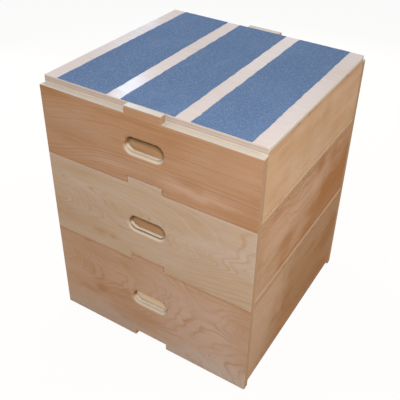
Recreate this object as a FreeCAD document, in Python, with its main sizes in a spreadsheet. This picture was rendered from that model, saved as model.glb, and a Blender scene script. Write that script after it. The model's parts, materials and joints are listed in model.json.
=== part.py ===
# Set of three plywood jump boxes of one width and depth and three heights, made to stack.
# Each box drops over the one below: its front and back panels hang past its side panels by a board's
# thickness and straddle the lower box's top panel, and a tab on each lower panel goes into a notch above it.
# Millimetres, +X to the right along the front, +Y to the back, +Z up, origin under the middle on the floor.
import FreeCAD, Part
import os
import Sketcher

FULL_TURN = 360
ORIGIN_POINT = (-1, 1)
X_AXIS, Y_AXIS = range(-1, -3, -1)
START, END, CENTRE = range(1, 4)
TOUCH = 1e-4
SIDES = (-1, 1)

# Driving sizes: name, value, meaning
SIZES = (
    ("box_width", 580, "width of every box along its front"),
    ("box_depth", 575, "depth of every box from front to back"),
    ("ply", 18, "thickness of the plywood, and height of a tab"),
    ("lower_shoulder", 282, "height of the lower box's front panel beside its tab"),
    ("middle_shoulder", 232, "height of the middle box's front panel beside its tab"),
    ("upper_shoulder", 182, "height of the upper box's front panel beside its tab"),
    ("tab_width", 96, "width of a stacking tab"),
    ("tab_side_clearance", 1.5, "room on each side of a tab in its notch"),
    ("tab_top_clearance", 1, "room above a tab in its notch"),
    ("straddle_clearance", 0.5, "room between a top panel and the panels in front of and behind it"),
    ("hole_width", 101, "width of a hand hole inside its rounded edges"),
    ("hole_height", 37, "height of a hand hole inside its rounded edges"),
    ("hole_edge_radius", 10, "round-over along the outer edge of a hand hole"),
    ("hole_inner_radius", 4, "round-over along the inner edge of a hand hole"),
    ("lower_hole_rise", 151, "height of the lower box's hand hole above its panel's bottom edge"),
    ("middle_hole_rise", 117, "height of the middle box's hand hole above its panel's bottom edge"),
    ("upper_hole_rise", 105, "height of the upper box's hand hole above its panel's bottom edge"),
    ("arris_radius", 1.5, "sanded round along the outer edges of the boards"),
    ("strip_margin", 38, "bare board outside the outer grip strips"),
    ("strip_gap", 39, "bare board between two grip strips"),
    ("strip_inset", 2, "bare board at the two ends of a grip strip"),
    ("strip_thickness", 1, "thickness of a grip strip"),
    ("batten", 30, "side of the square batten inside the boxes"),
    ("batten_chamfer", 5, "chamfer along a batten's free corner"),
    ("block_lift", 10, "height of a corner block's foot above the side panel's bottom edge"),
    ("screw_cover", 6, "wood left in front of a screw's tip"),
    ("screw_diameter", 4, "diameter of a screw's shank"),
    ("screw_head_diameter", 8, "diameter of a screw's countersunk head"),
    ("screw_head_height", 2.4, "height of a screw's countersunk head"),
    ("screw_tip_length", 5, "length of a screw's point"),
    ("screw_end_distance", 18, "distance of the first screw from a corner block's end"),
    ("screw_stagger", 16, "distance between the crossing screws of a corner block"),
    ("ledger_screw_inset", 120, "distance of a ledger's screw from the ledger's end"),
)

# Inner faces of the side panels and of the front and back panels, from the middle of the box
INNER_X = "Sizes.box_width / 2 - Sizes.ply"
INNER_Y = "Sizes.box_depth / 2 - Sizes.ply"

# The boxes from the floor up: name, height of the box's foot
BOXES = (
    ("lower", "0"),
    ("middle", "Sizes.lower_shoulder"),
    ("upper", "Sizes.lower_shoulder + Sizes.middle_shoulder"),
)
STRIPS = ("left", "centre", "right")

doc = FreeCAD.newDocument("StackingJumpBoxes")
nodes = []


def make_sheet():
    """Puts the driving sizes into a spreadsheet, one named cell each."""
    sheet = doc.addObject("Spreadsheet::Sheet", "Sizes")
    for row, (name, value, meaning) in enumerate(SIZES, start=1):
        sheet.set(f"A{row}", meaning)
        sheet.set(f"B{row}", str(value))
        sheet.setAlias(f"B{row}", name)
    doc.recompute()
    return sheet


def size(name):
    return float(getattr(sheet, name))


def new_body(label):
    body = doc.addObject("PartDesign::Body", label)
    body.Label = label
    return body


def place(body, corner):
    """Binds a body's place to three expressions."""
    for axis, expression in zip("xyz", corner):
        body.setExpression(f"Placement.Base.{axis}", expression)


def sketch_on(body, role, name):
    """Adds an empty sketch on one of the body's own origin planes."""
    plane = next(item for item in body.Origin.OriginFeatures if item.Role == role)
    sketch = body.newObject("Sketcher::SketchObject", name)
    sketch.AttachmentSupport = (plane, "")
    sketch.MapMode = "FlatFace"
    return sketch


def dimension(sketch, kind, references, value, name, expression):
    """Adds a driving dimension and binds it to the sheet."""
    index = sketch.addConstraint(Sketcher.Constraint(kind, *references, value))
    sketch.renameConstraint(index, name)
    sketch.setExpression(f"Constraints.{name}", expression)


def closed_outline(sketch, points):
    """Draws straight lines through the points and back to the first, joined end to end."""
    vectors = [FreeCAD.Vector(x, y, 0) for x, y in points]
    following = vectors[1:] + vectors[:1]
    for first, second in zip(vectors, following):
        sketch.addGeometry(Part.LineSegment(first, second), False)
    for line in range(len(points)):
        after = (line + 1) % len(points)
        sketch.addConstraint(Sketcher.Constraint("Coincident", line, END, after, START))


def edges_where(shape, test):
    """Names the edges whose ends and middle all pass the test."""
    names = []
    for index, edge in enumerate(shape.Edges, start=1):
        middle = edge.valueAt((edge.FirstParameter + edge.LastParameter) / 2)
        points = [vertex.Point for vertex in edge.Vertexes] + [middle]
        if all(test(point) for point in points):
            names.append(f"Edge{index}")
    return names


def dress(body, kind, name, test, size_property, expression):
    """Adds a fillet or chamfer along the edges of the body's tip that pass the test."""
    base = body.Tip
    feature = body.newObject(f"PartDesign::{kind}", name)
    feature.Base = (base, edges_where(base.Shape, test))
    feature.setExpression(size_property, expression)
    doc.recompute()


def board(label, dimensions, corner):
    """Makes a square-edged board from expressions for its sizes and its lowest corner."""
    body = new_body(label)
    block = body.newObject("PartDesign::AdditiveBox", f"{label}_blank")
    for name, expression in zip(("Length", "Width", "Height"), dimensions):
        block.setExpression(name, expression)
    place(body, corner)
    doc.recompute()
    nodes.append(body)
    return body


def level(box, foot):
    """The height of a box's shoulders, as an expression."""
    return f"{foot} + Sizes.{box}_shoulder"


def inside(face, thickness, side):
    """The lowest coordinate of a piece that lies inside a face on the given side, as an expression."""
    return f"-({face})" if side < 0 else f"{face} - {thickness}"


def panel_outline(body, box):
    """Draws a front panel: notch in the bottom edge, tab in the middle of the top edge."""
    half = size("box_width") / 2
    tab = size("tab_width") / 2
    notch = tab + size("tab_side_clearance")
    notch_top = size("ply") + size("tab_top_clearance")
    shoulder = size(f"{box}_shoulder")
    tab_top = shoulder + size("ply")
    sketch = sketch_on(body, "XZ_Plane", f"{body.Label}_outline")
    closed_outline(sketch, (
        (-half, 0), (-notch, 0), (-notch, notch_top), (notch, notch_top), (notch, 0), (half, 0),
        (half, shoulder), (tab, shoulder), (tab, tab_top), (-tab, tab_top), (-tab, shoulder),
        (-half, shoulder),
    ))
    left_foot, notch_left, notch_roof, notch_right, right_foot, right_end = range(6)
    right_shoulder, tab_right, tab_roof, tab_left, left_shoulder, left_end = range(6, 12)
    for line in (left_foot, right_foot, right_shoulder, left_shoulder):
        sketch.addConstraint(Sketcher.Constraint("Horizontal", line))
    for line in (notch_left, notch_right, right_end, tab_right, tab_left, left_end):
        sketch.addConstraint(Sketcher.Constraint("Vertical", line))
    sketch.addConstraint(Sketcher.Constraint("Horizontal", tab_right, START, tab_left, END))
    sketch.addConstraint(Sketcher.Constraint("Symmetric", left_foot, START, right_foot, END, Y_AXIS))
    for line in (notch_roof, tab_roof):
        sketch.addConstraint(Sketcher.Constraint("Symmetric", line, START, line, END, Y_AXIS))
    sketch.addConstraint(Sketcher.Constraint("PointOnObject", left_foot, START, X_AXIS))
    dimension(sketch, "DistanceX", (left_foot, START, right_foot, END), 2 * half,
              "width", "Sizes.box_width")
    dimension(sketch, "DistanceX", (notch_roof, START, notch_roof, END), 2 * notch,
              "notch_width", "Sizes.tab_width + 2 * Sizes.tab_side_clearance")
    dimension(sketch, "DistanceY", (notch_left, START, notch_left, END), notch_top,
              "notch_depth", "Sizes.ply + Sizes.tab_top_clearance")
    dimension(sketch, "DistanceY", (right_end, START, right_end, END), shoulder,
              "shoulder", f"Sizes.{box}_shoulder")
    dimension(sketch, "DistanceX", (tab_roof, END, tab_roof, START), 2 * tab,
              "tab_width", "Sizes.tab_width")
    dimension(sketch, "DistanceY", (tab_right, START, tab_right, END), size("ply"),
              "tab_height", "Sizes.ply")
    return sketch


def hole_outline(body, box):
    """Draws a hand hole: two half circles joined by straight edges."""
    radius = size("hole_height") / 2
    reach = size("hole_width") / 2 - radius
    rise = size(f"{box}_hole_rise")
    quarter = FULL_TURN / 4
    sketch = sketch_on(body, "XZ_Plane", f"{body.Label}_hole")
    up = FreeCAD.Vector(0, 0, 1)
    ends = []
    for side, first in ((1, -quarter), (-1, quarter)):
        circle = Part.Circle(FreeCAD.Vector(side * reach, rise, 0), up, radius)
        first_angle = FreeCAD.Units.Quantity(first, FreeCAD.Units.Angle).getValueAs("rad").Value
        last_angle = FreeCAD.Units.Quantity(first + 2 * quarter, FreeCAD.Units.Angle).getValueAs("rad").Value
        ends.append(sketch.addGeometry(Part.ArcOfCircle(circle, first_angle, last_angle), False))
    right, left = ends
    edges = []
    for side in (1, -1):
        level = rise + side * radius
        near = FreeCAD.Vector(side * reach, level, 0)
        far = FreeCAD.Vector(-side * reach, level, 0)
        edges.append(sketch.addGeometry(Part.LineSegment(near, far), False))
    roof, sill = edges
    for first, second in ((right, roof), (roof, left), (left, sill), (sill, right)):
        sketch.addConstraint(Sketcher.Constraint("Tangent", first, END, second, START))
    sketch.addConstraint(Sketcher.Constraint("Equal", right, left))
    sketch.addConstraint(Sketcher.Constraint("Symmetric", left, CENTRE, right, CENTRE, Y_AXIS))
    dimension(sketch, "Radius", (right,), radius, "end_radius", "Sizes.hole_height / 2")
    dimension(sketch, "DistanceX", (left, CENTRE, right, CENTRE), 2 * reach,
              "centre_distance", "Sizes.hole_width - Sizes.hole_height")
    dimension(sketch, "DistanceY", (*ORIGIN_POINT, right, CENTRE), rise,
              "rise", f"Sizes.{box}_hole_rise")
    return sketch


def front_or_back_panel(box, foot, side):
    """Makes a front or back panel: tab, notch, hand hole with rounded edges and sanded outer edges."""
    body = new_body(f"{box}_box_{'front' if side < 0 else 'back'}_panel")
    pad = body.newObject("PartDesign::Pad", f"{body.Label}_blank")
    pad.Profile = panel_outline(body, box)
    pad.Reversed = True
    pad.setExpression("Length", "Sizes.ply")
    doc.recompute()
    pocket = body.newObject("PartDesign::Pocket", f"{body.Label}_hand_hole")
    pocket.Profile = hole_outline(body, box)
    pocket.Type = "ThroughAll"
    pocket.Midplane = True
    doc.recompute()
    if pocket.Shape.Volume >= pad.Shape.Volume:
        raise RuntimeError(f"the hand hole of {body.Label} cut nothing")
    ply = size("ply")
    hole_end = size("hole_width") / 2 + size("hole_edge_radius") + TOUCH
    hole_top = size("hole_height") / 2 + size("hole_edge_radius") + TOUCH
    rise = size(f"{box}_hole_rise")

    def near_hole(point):
        return abs(point.x) < hole_end and abs(point.z - rise) < hole_top

    def hole_mouth(point):
        return near_hole(point) and abs(point.y) < TOUCH

    def hole_back(point):
        return near_hole(point) and abs(point.y - ply) < TOUCH

    def outer_edge(point):
        return abs(point.y) < TOUCH and not near_hole(point)

    dress(body, "Fillet", f"{body.Label}_hole_mouth", hole_mouth, "Radius",
          "min(Sizes.hole_edge_radius; 3 * Sizes.ply / 5)")
    dress(body, "Fillet", f"{body.Label}_hole_back", hole_back, "Radius",
          "min(Sizes.hole_inner_radius; Sizes.ply / 4)")
    dress(body, "Fillet", f"{body.Label}_arris", outer_edge, "Radius", "Sizes.arris_radius")
    if side > 0:
        body.Placement.Rotation = FreeCAD.Rotation(FreeCAD.Vector(0, 0, 1), FULL_TURN / 2)
    place(body, ("0", f"{side} * Sizes.box_depth / 2", foot))
    nodes.append(body)


def side_panel(box, foot, side):
    """Makes a side panel: between the front and back panels, a board's thickness above their feet."""
    dimensions = ("Sizes.ply", f"2 * ({INNER_Y})", f"Sizes.{box}_shoulder - Sizes.ply")
    corner = (inside("Sizes.box_width / 2", "Sizes.ply", side), f"-({INNER_Y})", f"{foot} + Sizes.ply")
    body = board(f"{box}_box_{'left' if side < 0 else 'right'}_panel", dimensions, corner)
    outer = 0 if side < 0 else size("ply")
    height = size(f"{box}_shoulder") - size("ply")

    def outer_edge(point):
        return abs(point.x - outer) < TOUCH and min(abs(point.z), abs(point.z - height)) < TOUCH

    dress(body, "Fillet", f"{body.Label}_arris", outer_edge, "Radius", "Sizes.arris_radius")


def top_panel(box, foot):
    """Makes a top panel: on the side panels, level with the tabs, sanded along all its edges."""
    depth = f"2 * ({INNER_Y} - Sizes.straddle_clearance)"
    corner = ("-Sizes.box_width / 2", f"-({INNER_Y} - Sizes.straddle_clearance)", level(box, foot))
    body = board(f"{box}_box_top_panel", ("Sizes.box_width", depth, "Sizes.ply"), corner)
    dress(body, "Fillet", f"{body.Label}_arris", lambda point: True, "Radius", "Sizes.arris_radius")


def ledgers(box, foot):
    """Makes the four battens that carry a top panel, chamfered along their free corner."""
    batten = size("batten")
    height = f"{level(box, foot)} - Sizes.batten"
    for side, name in zip(SIDES, ("front", "back")):
        corner = (f"-({INNER_X})", inside(INNER_Y, "Sizes.batten", side), height)
        body = board(f"{box}_box_{name}_ledger", (f"2 * ({INNER_X})", "Sizes.batten", "Sizes.batten"), corner)
        free = batten if side < 0 else 0
        dress(body, "Chamfer", f"{body.Label}_chamfer",
              lambda point: abs(point.y - free) < TOUCH and abs(point.z) < TOUCH,
              "Size", "Sizes.batten_chamfer")
    for side, name in zip(SIDES, ("left", "right")):
        corner = (inside(INNER_X, "Sizes.batten", side), f"-({INNER_Y} - Sizes.batten)", height)
        dimensions = ("Sizes.batten", f"2 * ({INNER_Y} - Sizes.batten)", "Sizes.batten")
        body = board(f"{box}_box_{name}_ledger", dimensions, corner)
        free = batten if side < 0 else 0
        dress(body, "Chamfer", f"{body.Label}_chamfer",
              lambda point: abs(point.x - free) < TOUCH and abs(point.z) < TOUCH,
              "Size", "Sizes.batten_chamfer")


def corner_blocks(box, foot):
    """Makes the four upright blocks in the corners, under the ledgers, chamfered along their free corner."""
    batten = size("batten")
    height = f"Sizes.{box}_shoulder - Sizes.ply - Sizes.block_lift - Sizes.batten"
    for side_y, name_y in zip(SIDES, ("front", "back")):
        for side_x, name_x in zip(SIDES, ("left", "right")):
            corner = (inside(INNER_X, "Sizes.batten", side_x), inside(INNER_Y, "Sizes.batten", side_y),
                      f"{foot} + Sizes.ply + Sizes.block_lift")
            body = board(f"{box}_box_{name_y}_{name_x}_block", ("Sizes.batten", "Sizes.batten", height), corner)
            free_x = batten if side_x < 0 else 0
            free_y = batten if side_y < 0 else 0
            dress(body, "Chamfer", f"{body.Label}_chamfer",
                  lambda point: abs(point.x - free_x) < TOUCH and abs(point.y - free_y) < TOUCH,
                  "Size", "Sizes.batten_chamfer")


def grip_strip(index, foot):
    """Makes one of the grip strips on the upper box, which share the width evenly."""
    width = "(Sizes.box_width - 2 * Sizes.strip_margin - 2 * Sizes.strip_gap) / 3"
    end = f"{INNER_Y} - Sizes.straddle_clearance - Sizes.strip_inset"
    left = f"Sizes.strip_margin - Sizes.box_width / 2 + {index} * ({width} + Sizes.strip_gap)"
    corner = (left, f"-({end})", f"{level('upper', foot)} + Sizes.ply")
    board(f"{STRIPS[index]}_grip_strip", (width, f"2 * ({end})", "Sizes.strip_thickness"), corner)


def wood_screw():
    """Makes one countersunk screw, head up at the origin and point down, through a batten into a board."""
    radius = size("screw_diameter") / 2
    head = size("screw_head_diameter") / 2
    head_height = size("screw_head_height")
    length = size("batten") + size("ply") - size("screw_cover")
    shank_end = length - size("screw_tip_length")
    body = new_body("wood_screw")
    sketch = sketch_on(body, "XZ_Plane", "wood_screw_profile")
    closed_outline(sketch, ((0, 0), (0, -length), (radius, -shank_end), (radius, -head_height), (head, 0)))
    axis, tip, shank, cone, top = range(5)
    sketch.addConstraint(Sketcher.Constraint("Coincident", axis, START, *ORIGIN_POINT))
    for line in (axis, shank):
        sketch.addConstraint(Sketcher.Constraint("Vertical", line))
    sketch.addConstraint(Sketcher.Constraint("Horizontal", top))
    dimension(sketch, "DistanceY", (axis, END, axis, START), length,
              "length", "Sizes.batten + Sizes.ply - Sizes.screw_cover")
    dimension(sketch, "DistanceY", (tip, START, tip, END), size("screw_tip_length"),
              "tip_length", "Sizes.screw_tip_length")
    dimension(sketch, "DistanceX", (tip, START, tip, END), radius, "radius", "Sizes.screw_diameter / 2")
    dimension(sketch, "DistanceY", (cone, START, cone, END), head_height,
              "head_height", "Sizes.screw_head_height")
    dimension(sketch, "DistanceX", (top, END, top, START), head,
              "head_radius", "Sizes.screw_head_diameter / 2")
    turn = body.newObject("PartDesign::Revolution", "wood_screw_turning")
    turn.Profile = sketch
    turn.ReferenceAxis = (sketch, ["V_Axis"])
    turn.Angle = FULL_TURN
    doc.recompute()
    return body.Shape


def screw_group(label, seats):
    """Puts a screw at each seat, a point where its head lies and the way that it is driven, in one node."""
    pointing = FreeCAD.Vector(0, 0, -1)
    screws = []
    for point, way in seats:
        copy = screw.copy()
        copy.Placement = FreeCAD.Placement(point, FreeCAD.Rotation(pointing, way))
        screws.append(copy)
    group = doc.addObject("Part::Feature", label)
    group.Label = label
    group.Shape = Part.Compound(screws)
    nodes.append(group)


def screws(box, foot):
    """Drives two crossing pairs of screws through each corner block, and two up through each ledger."""
    batten = size("batten")
    inner_x = size("box_width") / 2 - size("ply")
    inner_y = size("box_depth") / 2 - size("ply")
    roof = foot + size(f"{box}_shoulder") - batten
    floor = foot + size("ply") + size("block_lift")
    end = size("screw_end_distance")
    stagger = end + size("screw_stagger")
    inset = size("ledger_screw_inset")
    block_seats = []
    ledger_seats = []
    for side_x in SIDES:
        for side_y in SIDES:
            for height in (floor + end, roof - end):
                head = FreeCAD.Vector(side_x * (inner_x - batten / 2), side_y * (inner_y - batten), height)
                block_seats.append((head, FreeCAD.Vector(0, side_y, 0)))
            for height in (floor + stagger, roof - stagger):
                head = FreeCAD.Vector(side_x * (inner_x - batten), side_y * (inner_y - batten / 2), height)
                block_seats.append((head, FreeCAD.Vector(side_x, 0, 0)))
            across = FreeCAD.Vector(side_x * (inner_x - inset), side_y * (inner_y - batten / 2), roof)
            along = FreeCAD.Vector(side_x * (inner_x - batten / 2), side_y * (inner_y - batten - inset), roof)
            for head in (across, along):
                ledger_seats.append((head, FreeCAD.Vector(0, 0, 1)))
    screw_group(f"{box}_box_block_screws", block_seats)
    screw_group(f"{box}_box_ledger_screws", ledger_seats)


def check_and_write():
    """Stops on a failed object or shape, and otherwise writes one file for each node."""
    doc.recompute()
    for item in doc.Objects:
        if "Invalid" in item.State or "Error" in item.State:
            raise RuntimeError(f"{item.Label} failed: {item.State}")
    for node in nodes:
        if node.Shape.isNull() or not node.Shape.isValid():
            raise RuntimeError(f"{node.Label} has no valid shape")
    os.makedirs("parts", exist_ok=True)
    for node in nodes:
        node.Shape.exportStep(f"parts/{node.Label}.step")
    print(f"{len(nodes)} nodes written")


sheet = make_sheet()
screw = wood_screw()
foot_height = 0
for box_name, box_foot in BOXES:
    for outer_side in SIDES:
        front_or_back_panel(box_name, box_foot, outer_side)
        side_panel(box_name, box_foot, outer_side)
    top_panel(box_name, box_foot)
    ledgers(box_name, box_foot)
    corner_blocks(box_name, box_foot)
    screws(box_name, foot_height)
    foot_height += size(f"{box_name}_shoulder")
for strip_index in range(len(STRIPS)):
    grip_strip(strip_index, BOXES[-1][1])
check_and_write()
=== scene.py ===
"""Finishes three stacking plywood jump boxes and sets up their floor, lights and camera."""

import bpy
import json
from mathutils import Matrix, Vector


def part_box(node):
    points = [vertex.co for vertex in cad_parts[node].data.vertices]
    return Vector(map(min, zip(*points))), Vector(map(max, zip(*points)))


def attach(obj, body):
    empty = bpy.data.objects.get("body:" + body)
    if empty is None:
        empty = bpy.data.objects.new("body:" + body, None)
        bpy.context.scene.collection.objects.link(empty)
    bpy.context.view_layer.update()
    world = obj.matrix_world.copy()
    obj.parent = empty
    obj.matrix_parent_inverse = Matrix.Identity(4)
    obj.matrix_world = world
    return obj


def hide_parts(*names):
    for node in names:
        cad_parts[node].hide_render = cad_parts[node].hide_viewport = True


bl_info = {
    "name": "Stacking Jump Boxes",
    "version": (1, 0, 0),
    "blender": (4, 5, 0),
    "location": "View3D > Sidebar > Jump Boxes",
    "description": "Plywood, battens, screws and grip strips of three stacking jump boxes",
    "category": "Object",
}

import json
import math
from collections import namedtuple

import bmesh
import bpy
from bpy.props import FloatProperty, FloatVectorProperty, IntProperty, PointerProperty
from mathutils import Matrix, Quaternion, Vector, noise

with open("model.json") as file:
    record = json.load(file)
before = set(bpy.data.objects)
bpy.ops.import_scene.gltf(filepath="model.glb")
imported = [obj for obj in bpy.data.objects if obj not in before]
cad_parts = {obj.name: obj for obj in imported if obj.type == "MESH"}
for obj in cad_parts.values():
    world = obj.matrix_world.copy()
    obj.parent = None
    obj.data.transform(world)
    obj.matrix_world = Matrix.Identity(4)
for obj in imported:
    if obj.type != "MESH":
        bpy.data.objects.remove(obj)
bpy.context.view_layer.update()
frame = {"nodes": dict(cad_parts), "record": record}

BOXES = ("lower", "middle", "upper")
WALLS = ("front", "back", "left", "right")
CORNERS = ("front_left", "front_right", "back_left", "back_right")
STRIPS = ("left", "centre", "right")
PHOTO_SIZE = 400
SENSOR_WIDTH = 36.0
WHITE = (1.0, 1.0, 1.0, 1.0)

# Half the width of a notch, its depth, and half the length and height of the patch round a hand hole
NOTCH_HALF = 0.0495
NOTCH_DEPTH = 0.019
HOLE_HALF_LENGTH = 0.07
HOLE_HALF_HEIGHT = 0.04

# How far out of a board's middle the dark ply in a hand hole's sill lies
CROSS_PLY = 0.0028

# How far above a top panel's underside its soiling and painted shade are thickest, and how far they reach
DIRT_AND_SHADE_HEIGHT = 0.005
DIRT_AND_SHADE_REACH = 0.008

# Where the floor inside the boxes, which glows a warm tint to the camera as painted bounced light, ends and
# the white floor begins, from the middle
FLOOR_INSIDE = 0.235
FLOOR_OUTSIDE = 0.255

# Cells of a grip strip's grid
CELLS_ACROSS = 56
CELLS_ALONG = 214

# Shares of a veneer's own red, green and blue in its dark and pale places, and, last, in its patches of
# painted bluish light
DEEP = (0.78, 0.60, 0.38)
LATE_WOOD = (0.80, 0.61, 0.38)
PORES = (0.50, 0.38, 0.26)
PALE = (1.08, 1.19, 1.46)
BLEACHED = (1.26, 1.42, 1.80)
BLUISH_LIGHT = (1.06, 1.40, 1.90)

# Shares of a hand hole's tones in the inner half of its sill, brightened as painted light against shade, and
# in its dark end grain
INNER_SILL_LIGHT = (1.38, 1.40, 1.42)
DARK_END = (0.75, 0.72, 0.68)


def tone(red, green, blue):
    """A screen colour, from 0 to 255, as the linear colour that a shader takes."""
    def linear(channel):
        share = channel / 255
        return share / 12.92 if share <= 0.04045 else ((share + 0.055) / 1.055) ** 2.4
    return (linear(red), linear(green), linear(blue))


def colour_property(name, description, *screen_colour):
    return FloatVectorProperty(name=name, description=description, subtype="COLOR", size=3, min=0.0, max=1.0,
                               default=tone(*screen_colour))


def length_property(name, description, default, **limits):
    return FloatProperty(name=name, description=description, subtype="DISTANCE", unit="LENGTH",
                         default=default, **limits)


def angle_property(name, description, degrees):
    return FloatProperty(name=name, description=description, subtype="ANGLE", unit="ROTATION",
                         default=math.radians(degrees))


def board_thickness():
    low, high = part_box("upper_box_top_panel")
    return high.z - low.z


class WoodSettings(bpy.types.PropertyGroup):
    """Colours and make-up of the plywood and battens."""
    upper_front: colour_property("Upper front", "Veneer of the upper box's front and back", 166, 129, 99)
    middle_front: colour_property("Middle front", "Veneer of the middle box's front and back", 178, 155, 133)
    lower_front: colour_property("Lower front", "Veneer of the lower box's front and back", 176, 145, 122)
    upper_side: colour_property("Upper sides", "Veneer of the upper box's sides", 190, 155, 122)
    middle_side: colour_property("Middle sides", "Veneer of the middle box's sides", 179, 141, 110)
    lower_side: colour_property("Lower sides", "Veneer of the lower box's sides", 167, 132, 100)
    upper_top: colour_property("Upper top", "Veneer of the upper box's top", 215, 200, 192)
    # The middle and lower tops are warmer and more orange than the upper top: painted warm light, standing in
    # for light bounced round inside the boxes and seen through the hand holes
    middle_top: colour_property("Middle top", "Veneer of the middle box's top", 242, 188, 135)
    lower_top: colour_property("Lower top", "Veneer of the lower box's top", 232, 177, 126)
    long_pale: colour_property("Edge, pale plies", "Pale plies on an edge along the grain", 213, 205, 192)
    long_dark: colour_property("Edge, dark plies", "Dark plies on an edge along the grain", 208, 199, 185)
    long_glue: colour_property("Edge, glue lines", "Glue lines on an edge along the grain", 199, 188, 173)
    end_pale: colour_property("End, pale plies", "Pale plies on an end across the grain", 178, 147, 120)
    end_dark: colour_property("End, dark plies", "Dark plies on an end across the grain", 167, 136, 109)
    end_glue: colour_property("End, glue lines", "Glue lines on an end across the grain", 146, 116, 92)
    top_pale: colour_property("Top edge, pale plies", "Pale plies on a top panel's edge", 187, 173, 163)
    top_dark: colour_property("Top edge, dark plies", "Dark plies on a top panel's edge", 179, 161, 148)
    top_glue: colour_property("Top edge, glue lines", "Glue lines on a top panel's edge", 162, 138, 121)
    seam_pale: colour_property("Seam, pale plies", "Pale plies on a top panel's end", 189, 164, 138)
    seam_dark: colour_property("Seam, dark plies", "Dark plies on a top panel's end", 182, 154, 128)
    seam_glue: colour_property("Seam, glue lines", "Glue lines on a top panel's end", 166, 128, 96)
    rim_pale: colour_property("Hand hole, pale plies", "Pale plies inside a hand hole", 202, 184, 162)
    rim_glue: colour_property("Hand hole, end grain", "End grain on a hand hole's round ends", 150, 118, 90)
    upper_rim: colour_property("Upper hand hole", "Dark plies inside the upper hand hole", 182, 164, 142)
    middle_rim: colour_property("Middle hand hole", "Dark plies inside the middle hand hole", 134, 106, 88)
    lower_rim: colour_property("Lower hand hole", "Dark plies inside the lower hand hole", 188, 174, 154)
    # Dark brown for the soiling and painted shade in the joints under the top panels
    grime: colour_property("Grime", "Dirt in the joints under the top panels", 84, 60, 42)
    batten: colour_property("Battens", "Planed softwood of the blocks and ledgers", 216, 186, 142)
    batten_ring: colour_property("Batten rings", "Dark growth rings of the softwood", 176, 132, 84)
    screw: colour_property("Screws", "Zinc of the screws", 196, 188, 164)
    ply_count: IntProperty(name="Plies", description="Layers of veneer in a board", default=5, min=3, max=13)
    thickness: length_property("Board", "Thickness of a board", board_thickness())


class GripSettings(bpy.types.PropertyGroup):
    """Colours and edges of the grip strips."""
    coat: colour_property("Coat", "Main colour of the grip coat", 107, 130, 165)
    fleck: colour_property("Flecks", "Pale grit in the grip coat", 176, 190, 208)
    shade: colour_property("Shade", "Hollows between the grit", 78, 101, 136)
    edge_wander: length_property("Edge wander", "How far a strip's edge strays from a straight line", 0.0016,
                                 min=0.0, max=0.005)
    edge_round: length_property("Edge round", "Rounding of a strip's upper edges", 0.0004, min=0.0, max=0.001)


class StageSettings(bpy.types.PropertyGroup):
    """Floor, lights and camera."""
    floor: colour_property("Floor", "Pale floor under the boxes", 250, 232, 200)
    camera_place: FloatVectorProperty(name="Camera", description="Where the camera stands",
                                      subtype="TRANSLATION", unit="LENGTH", default=(0.6958, -1.1845, 1.3321))
    azimuth: angle_property("Azimuth", "Camera's turn from the front towards the right", 29.48)
    elevation: angle_property("Elevation", "How steeply the camera looks down", 34.01)
    roll: angle_property("Roll", "Camera's tilt about its line of sight", 2.25)
    focal_pixels: FloatProperty(name="Focal length", description="Focal length in pixels of the picture",
                                default=612.5, min=1.0)
    centre_x: FloatProperty(name="Centre across", description="Column of the picture on the line of sight",
                            default=217.6)
    centre_y: FloatProperty(name="Centre down", description="Row of the picture on the line of sight",
                            default=170.2)
    ambient: FloatProperty(name="Ambient", description="Even light from all round", default=0.08, min=0.0)


class Graph:
    """Adds nodes to a shader tree and links or sets their inputs."""

    def __init__(self, tree):
        self.tree = tree

    def feed(self, node, inputs):
        for key, value in inputs.items():
            if isinstance(value, bpy.types.NodeSocket):
                self.tree.links.new(value, node.inputs[key])
            else:
                node.inputs[key].default_value = value
        return node

    def add(self, kind, inputs=None, **settings):
        node = self.tree.nodes.new(f"ShaderNode{kind}")
        for name, value in settings.items():
            setattr(node, name, value)
        return self.feed(node, inputs or {})

    def math(self, operation, first, second=0.0, third=0.0):
        return self.add("Math", {0: first, 1: second, 2: third}, operation=operation).outputs[0]

    def times(self, first, second):
        return self.math("MULTIPLY", first, second)

    def vector(self, operation, first, second=(0.0, 0.0, 0.0)):
        return self.add("VectorMath", {0: first, 1: second}, operation=operation).outputs[0]

    def scale(self, vector, amount):
        return self.add("VectorMath", {0: vector, "Scale": amount}, operation="SCALE").outputs[0]

    def mix(self, factor, first, second):
        return self.add("Mix", {0: factor, 6: first, 7: second}, data_type="RGBA").outputs[2]

    def tint(self, base, value, low, high, share, colour):
        """Mixes a share of a colour in as a value goes from low to high."""
        return self.mix(self.remap(value, low, high, 0.0, share), base, colour)

    def blend(self, factor, first, second):
        return self.add("Mix", {0: factor, 2: first, 3: second}).outputs[0]

    def remap(self, value, low, high, to_low=0.0, to_high=1.0):
        names = {"Value": value, "From Min": low, "From Max": high, "To Min": to_low, "To Max": to_high}
        return self.add("MapRange", names, interpolation_type="SMOOTHSTEP").outputs[0]

    def noise(self, vector, scale, detail=2.0, roughness=0.5):
        names = {"Vector": vector, "Scale": scale, "Detail": detail, "Roughness": roughness}
        return self.add("TexNoise", names).outputs["Fac"]

    def away(self, value, centre):
        return self.math("ABSOLUTE", self.math("SUBTRACT", value, centre))

    def bell(self, vector, centre, reach):
        """A smooth bell round a centre, one high."""
        offset = self.vector("DIVIDE", self.vector("SUBTRACT", vector, centre), reach)
        squared = self.add("VectorMath", {0: offset, 1: offset}, operation="DOT_PRODUCT").outputs["Value"]
        return self.math("EXPONENT", self.times(squared, -1.0))

    def combine(self, x, y, z):
        return self.add("CombineXYZ", {0: x, 1: y, 2: z}).outputs[0]

    def split(self, vector):
        return tuple(self.add("SeparateXYZ", {0: vector}).outputs)

    def stretch(self, vector, x, y, z):
        return self.vector("MULTIPLY", vector, (x, y, z))

    def group(self, tree, inputs):
        return self.feed(self.add("Group", node_tree=tree), inputs).outputs


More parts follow.
